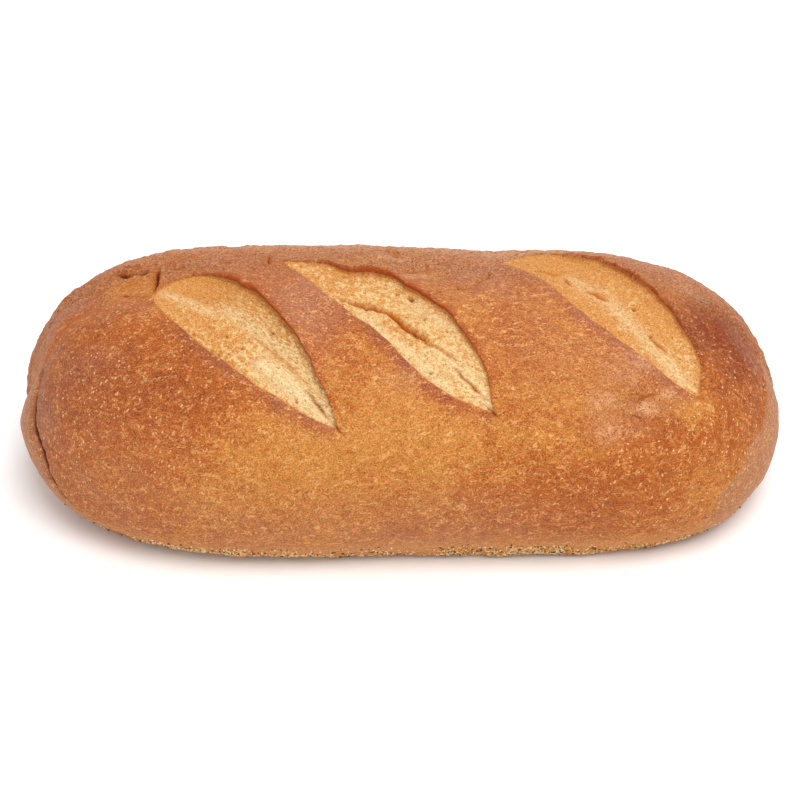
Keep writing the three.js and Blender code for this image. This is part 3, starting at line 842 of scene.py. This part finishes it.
# Patterns are size, low, high, detail and roughness, noises size, detail and roughness,
# lines size and width, spots size, widest and kept, bends size and how far on each axis
crustPaint = {
    "gold": tone(218, 141, 62), "amber": tone(190, 94, 27), "brown": tone(150, 56, 12),
    # The rosy tone also stands for a painted sheen
    "rosy": tone(190, 118, 90), "pale": tone(240, 186, 128), "tan": tone(186, 98, 22),
    # The end face tone is partly a painted sheen
    "creviceShade": tone(100, 40, 20), "rim": tone(162, 68, 24), "endFace": tone(195, 129, 88),
    # The flour tone also paints the ridge's sheen
    "meal": tone(226, 194, 136), "flour": tone(226, 170, 126), "streak": tone(230, 156, 90),
    "speck": tone(240, 184, 128), "curl": tone(242, 182, 114), "ember": tone(222, 134, 64),
    "toAmber": (-0.05, 0.6), "toBrown": (0.5, 1.25), "toBurnt": (1.1, 1.8),
    "grain": (0.5, 0.28, 0.72, 3, 0.65), "mottle": (1.4, 3, 0.6), "clouds": (7.0, 3),
    "blotches": (3.2, 0.44, 0.62, 3, 0.6), "bends": [(2.6, (1.8, 1.2, 2.6)), (0.8, (0.6, 0.6, 0.6))],
    "lineStretch": (0.5, 1, 1), "streaks": (2.4, 0.055), "streaksIn": (0.42, 0.6),
    "curls": (1.7, 0.05), "curlGaps": (2.2, 0.5, 0.62, 1),
    "blisters": (1.15, 0.38, 0.5), "blisterStretch": (1, 1, 0.75),
    "specks": (0.8, 0.36, 0.4), "speckStretch": (0.8, 1, 1),
    "crackle": (2.2, 0.06), "grit": (0.8, 0.48, 0.64),
    "mealGrain": (0.8, 0.5, 0.62, 1), "flourIn": (0.45, 0.75),
    # The crevice tone and the range where it sets in give the painted shade in grooves, pits and under the
    # lips
    "shadeIn": (0.1, 0.8), "bump": (0.7, 0.35), "gloss": 0.08,
}
# Strands, pores and strings start with the stretch of their places along the slash. Those places are in
# millimetres, so their sizes are divided by mm.
crumbPaint = {
    # The crumb's white is its pale cream, also used for painted highlights
    "pale": tone(243, 202, 136), "toast": tone(215, 131, 40), "white": tone(248, 220, 168),
    "fleck": tone(166, 90, 28), "string": tone(172, 122, 62), "pore": tone(206, 122, 42),
    "toToast": (-0.25, 1.15), "whiteIn": (0.5, 0.9), "strands": (0.16, (0.9 / mm, 3)),
    "pores": (0.4, (0.62 / mm, 0.5, 0.68, 3, 0.6)), "strings": (0.22, (0.5 / mm, 0.5, 0.66)),
    "sponge": (1.1, 0.3, 0.7, 3, 0.75), "golden": (2.2, 0.35, 0.65), "flecks": (0.9, 0.62, 0.7, 1),
}


# Gold, amber and brown by how far the crust is baked, then the paler ends and the rosy skin, both partly a
# painted sheen
def bakedColour(paint, grain, mottle, browned, burnt):
    look = crustPaint
    crust = paint.mix(paint.step(browned, *look["toAmber"]), look["gold"], look["amber"])
    crust = paint.mix(paint.step(browned, *look["toBrown"]), crust, look["brown"])
    crust = paint.mix(paint.field("endFace"), crust, look["endFace"])
    crust = paint.mix(paint.field("rosy") * (0.5 + 0.7 * mottle), crust, look["rosy"])
    return paint.mottled(crust, grain, 0.6, 0.1 * (1 - 0.7 * burnt), look["pale"])


# Pale streaks and curls where the skin stretched
def addLines(paint, crust, mottle, browned, burnt, bent):
    look = crustPaint
    craggy = paint.field("craggy")
    where = paint.stretched(bent, look["lineStretch"])
    streaks = paint.lines(*look["streaks"], where=where) * paint.step(mottle, *look["streaksIn"])
    streakPart = (0.65 - 0.35 * paint.step(browned, 0.5, 1.1)) * (1 - 0.7 * craggy)
    crust = paint.mix(streaks * streakPart, crust, paint.mix(burnt, look["streak"], look["ember"]))
    curls = paint.lines(*look["curls"], where=where) * paint.pattern(*look["curlGaps"], where=where)
    curls = curls * (1 - 0.3 * paint.step(paint.field("speck"), 0.1, 0.8))
    curlTone = paint.mix(burnt, look["curl"], look["ember"])
    return paint.mix(curls * (0.65 - 0.4 * craggy), crust, curlTone), 0.3 * streaks + 0.4 * curls


def addBlisters(paint, crust, grain, burnt, bent):
    look = crustPaint
    speck = paint.field("speck")
    blisters = paint.spots(*look["blisters"], where=paint.stretched(bent, look["blisterStretch"]))
    blisters = blisters * (0.3 + 0.7 * speck)
    specks = paint.spots(*look["specks"], where=paint.stretched(bent, look["speckStretch"]))
    part = (0.4 + 0.55 * grain) * blisters + 0.35 * specks * (0.5 + 0.5 * speck)
    crust = paint.mix(part, crust, paint.mix(burnt * 0.8, look["speck"], look["ember"]))
    return crust, 0.6 * blisters + 0.3 * specks


# The rough skin on top, crackled and gritty
def addCrackle(paint, crust, bent):
    look = crustPaint
    craggy = paint.field("craggy")
    crackle = paint.lines(*look["crackle"], where=bent) * craggy
    crust = paint.mix(crackle * 0.7, crust, look["brown"])
    grit = paint.pattern(*look["grit"]) * craggy
    return paint.mix(grit * 0.35, crust, look["pale"]), 0.9 * grit - 1.0 * crackle


# Flour dust, on the ridge also a painted sheen, then the meal at the foot
def addFlourAndSheen(paint, crust, grain, mottle):
    look = crustPaint
    flour = paint.field("flour") * paint.step(mottle + 0.3 * grain, *look["flourIn"])
    crust = paint.mix(flour, crust, look["flour"])
    meal = paint.field("meal") * (0.2 + 0.7 * paint.pattern(*look["mealGrain"]))
    return paint.mix(meal, crust, look["meal"])


# The crust's colour and how its marks stand up
def crustColour(paint, grain, mottle):
    look = crustPaint
    clouds = paint.noise(*look["clouds"])
    blotches = paint.pattern(*look["blotches"])
    browned = paint.field("bake") + 0.6 * (clouds - 0.5) + 1.0 * (mottle - 0.5) + 0.22 * (blotches - 0.4)
    burnt = paint.step(browned, *look["toBurnt"])
    bent = paint.place
    for size, far in look["bends"]:
        bent = paint.bent(size, far, bent)
    crust = bakedColour(paint, grain, mottle, browned, burnt)
    crust, lineRise = addLines(paint, crust, mottle, browned, burnt, bent)
    crust, blisterRise = addBlisters(paint, crust, grain, burnt, bent)
    crust, crackleRise = addCrackle(paint, crust, bent)
    crust = addFlourAndSheen(paint, crust, grain, mottle)
    return crust, blisterRise + lineRise + crackleRise


# Places in the crumb, in millimetres along and across its slash
def crumbPlace(paint, stretch):
    inputs = {0: paint.field("along") * stretch, 1: paint.field("across")}
    return paint.node("CombineXYZ", None, inputs)


# The crumb torn open in the slashes, spongy, with strands and small pores drawn out along them
def crumbColour(paint, grain):
    look = crumbPaint
    white = paint.field("white")
    stretch, strands = look["strands"]
    strands = paint.noise(*strands, where=crumbPlace(paint, stretch))
    stretch, pores = look["pores"]
    pores = paint.pattern(*pores, where=crumbPlace(paint, stretch))
    stretch, strings = look["strings"]
    strings = paint.pattern(*strings, where=crumbPlace(paint, stretch)) * paint.field("stringy")
    sponge = paint.pattern(*look["sponge"])
    golden = paint.pattern(*look["golden"])
    toasted = paint.field("toast") + 0.8 * (sponge - 0.5) + 1.1 * (strands - 0.5) + 0.9 * (golden - 0.5)
    crumb = paint.mix(paint.step(toasted, *look["toToast"]), look["pale"], look["toast"])
    # the pale cream strokes, partly a painted highlight along the crumb's ridges
    lumpy = paint.step(strands + 0.5 * sponge, *look["whiteIn"])
    crumb = paint.mix(white * (0.2 + 1.0 * lumpy), crumb, look["white"])
    crumb = paint.mix(pores * (0.65 - 0.35 * white), crumb, look["pore"])
    crumb = paint.mottled(crumb, grain, 0.32, 0.3, look["white"])
    crumb = paint.mix(strings * 0.75, crumb, look["string"])
    crumb = paint.mix(paint.pattern(*look["flecks"]) * 0.6, crumb, look["fleck"])
    return crumb, 0.6 * sponge + 0.8 * strands - 0.7 * pores - 0.5 * strings


def paintCrust():
    look = crustPaint
    paint = Paint("ryeCrust")
    crumbPart = paint.field("crumb")
    grain = paint.pattern(*look["grain"])
    mottle = paint.noise(*look["mottle"])
    crust, crustRise = crustColour(paint, grain, mottle)
    crumb, crumbRise = crumbColour(paint, grain)
    colour = paint.mix(crumbPart, crust, crumb)
    colour = paint.mix(paint.field("rim") * 0.85, colour, look["rim"])
    colour = paint.mix(paint.field("tan") * (0.7 + 0.5 * mottle), colour, look["tan"])
    # painted shade in the grooves, pits and fold and under the lips
    paintedShade = paint.step(paint.field("dark") + 0.3 * (grain - 0.5), *look["shadeIn"])
    colour = paint.mix(paintedShade, colour, look["creviceShade"])
    height = (crustRise + 0.5 * mottle) * (1 - crumbPart) + crumbRise * crumbPart + 0.4 * grain
    strength, distance = look["bump"]
    inputs = {"Strength": strength, "Distance": distance * mm, "Height": height}
    bump = paint.node("Bump", None, inputs)
    rough = 0.42 + 0.12 * mottle + 0.34 * crumbPart
    values = {"Base Color": colour, "Roughness": rough, "Normal": bump, "Specular IOR Level": look["gloss"]}
    return paint.finish(values)


# The meal that stuck to the foot of the loaf while it baked

mealGrains = {
    "count": 4200, "sizes": (0.28, 0.6), "squash": (0.7, 1.1), "uneven": 0.22, "above": 0.02, "seed": 12,
    "lowest": 0.35, "highest": 11.5, "usual": (4.5, 4, 1), "clumps": (9, 0.3), "smallClumps": (3, 0.3),
    "cream": tone(236, 210, 158), "golden": tone(204, 142, 70), "dark": tone(104, 56, 26),
    "toGolden": (0.2, 0.6), "toDark": (0.75, 0.85),
}


# A ball of twenty triangles
def grainShape():
    golden = (1 + 5 ** 0.5) / 2
    corners = [(-1, golden, 0), (1, golden, 0), (-1, -golden, 0), (1, -golden, 0),
               (0, -1, golden), (0, 1, golden), (0, -1, -golden), (0, 1, -golden),
               (golden, 0, -1), (golden, 0, 1), (-golden, 0, -1), (-golden, 0, 1)]
    faces = [(0, 11, 5), (0, 5, 1), (0, 1, 7), (0, 7, 10), (0, 10, 11), (1, 5, 9), (5, 11, 4), (11, 10, 2),
             (10, 7, 6), (7, 1, 8), (3, 9, 4), (3, 4, 2), (3, 2, 6), (3, 6, 8), (3, 8, 9), (4, 9, 5),
             (2, 4, 11), (6, 2, 10), (8, 6, 7), (9, 8, 1)]
    return np.array(corners) / np.hypot(1, golden), np.array(faces)


# Where the grains sit: points of the crust's foot, drawn by how much meal lies there
def mealPlaces(crust, random):
    grains = mealGrains
    z = crust[:, 2]
    low = np.flatnonzero((z > grains["lowest"]) & (z < grains["highest"]))
    clumped = 0.5 + lumps(crust[low], grains["clumps"], 30) + lumps(crust[low], grains["smallClumps"], 60)
    odds = hillAt(z[low], *grains["usual"]) * (0.05 + clumped ** 3)
    odds = odds * through(footMeal["along"], crust[low, 0])
    return crust[random.choice(low, grains["count"], p=odds / odds.sum(), replace=False)]


def makeMeal(crust):
    grains = mealGrains
    random = np.random.default_rng(grains["seed"])
    middle = mealPlaces(crust, random)
    corners, faces = grainShape()
    count = len(middle)
    size = random.uniform(*grains["sizes"], (count, 1, 3)) * random.uniform(*grains["squash"], (count, 1, 1))
    uneven = 1 + random.uniform(-grains["uneven"], grains["uneven"], (count, len(corners), 1))
    points = middle[:, None, :] + corners[None] * size * uneven
    sunk = grains["above"] - points[..., 2].min(1)
    points[..., 2] += np.clip(sunk, 0, None)[:, None]   # none reaches below the base
    index = faces[None] + len(corners) * np.arange(count)[:, None, None]
    shade = np.repeat(random.uniform(0, 1, count), len(corners))
    piece = makeMesh("meal", points.reshape(-1, 3), index.reshape(-1, 3).tolist(), {"shade": shade})
    print("meal:", count, "grains")
    return piece


def paintMeal():
    grains = mealGrains
    paint = Paint("meal")
    shade = paint.field("shade")
    colour = paint.mix(paint.step(shade, *grains["toGolden"]), grains["cream"], grains["golden"])
    colour = paint.mix(paint.step(shade, *grains["toDark"]), colour, grains["dark"])
    return paint.finish({"Base Color": colour, "Roughness": 0.75})


# The set: a pale floor, soft light and the camera, in metres

studio = {
    "floor": tone(252, 252, 252), "floorSize": 6.0, "floorRoughness": 0.9, "world": 0.8,
    "key": {"at": (0.25, -0.5, 1.35), "size": 0.9, "power": 14.0},
    "back": {"at": (0.4, 1.2, 1.2), "size": 1.2, "power": 3.5},
    "aim": (0, 0, 0.035),
}
# across is the width that the picture takes in at the aim, centreDrop a share of the picture's width
view = {"elevation": 38.0, "distance": 0.85, "across": 0.29632, "centreDrop": -9 / 800, "sensor": 36,
        "nearest": 0.01}


def makeFloor():
    floor = bpy.data.meshes.new("floor")
    half = studio["floorSize"] / 2
    corners = [(-half, -half, 0), (half, -half, 0), (half, half, 0), (-half, half, 0)]
    floor.from_pydata(corners, [], [(0, 1, 2, 3)])
    stage = bpy.data.objects.new("floor", floor)
    bpy.context.scene.collection.objects.link(stage)
    values = {"Base Color": studio["floor"], "Roughness": studio["floorRoughness"]}
    floor.materials.append(Paint("paleFloor").finish(values))


def makeWorld():
    world = bpy.data.worlds.new("studio")
    world.use_nodes = True
    background = world.node_tree.nodes["Background"]
    background.inputs["Color"].default_value = (1, 1, 1, 1)
    background.inputs["Strength"].default_value = studio["world"]
    bpy.context.scene.world = world


# Turns a lamp or the camera to look along a direction
def pointAlong(holder, direction):
    holder.rotation_euler = direction.to_track_quat("-Z", "Y").to_euler()
    bpy.context.scene.collection.objects.link(holder)


def makeLamp(label):
    lamp = bpy.data.lights.new(label, "AREA")
    lamp.energy = studio[label]["power"]
    lamp.size = studio[label]["size"]
    holder = bpy.data.objects.new(label, lamp)
    holder.location = studio[label]["at"]
    pointAlong(holder, Vector(studio["aim"]) - holder.location)


def makeCamera():
    lens = bpy.data.cameras.new("camera")
    camera = bpy.data.objects.new("camera", lens)
    rise = math.radians(view["elevation"])
    away = Vector((0, -math.cos(rise), math.sin(rise)))
    camera.location = Vector(studio["aim"]) + away * view["distance"]
    pointAlong(camera, -away)
    lens.sensor_width = view["sensor"]
    lens.lens = view["sensor"] * view["distance"] / view["across"]
    lens.shift_y = view["centreDrop"]
    lens.clip_start = view["nearest"]
    bpy.context.scene.camera = camera


bpy.context.scene.view_settings.view_transform = "Standard"
makeFloor()
makeWorld()
makeLamp("key")
makeLamp("back")
makeCamera()
print("set: floor, lights and camera")

loafPiece, crustPoints = makeLoaf()
loafPiece.data.materials.append(paintCrust())
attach(loafPiece, "root")
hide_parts("loaf")

mealPiece = makeMeal(crustPoints)
mealPiece.data.materials.append(paintMeal())
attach(mealPiece, "root")
print("pieces: painted and riding")
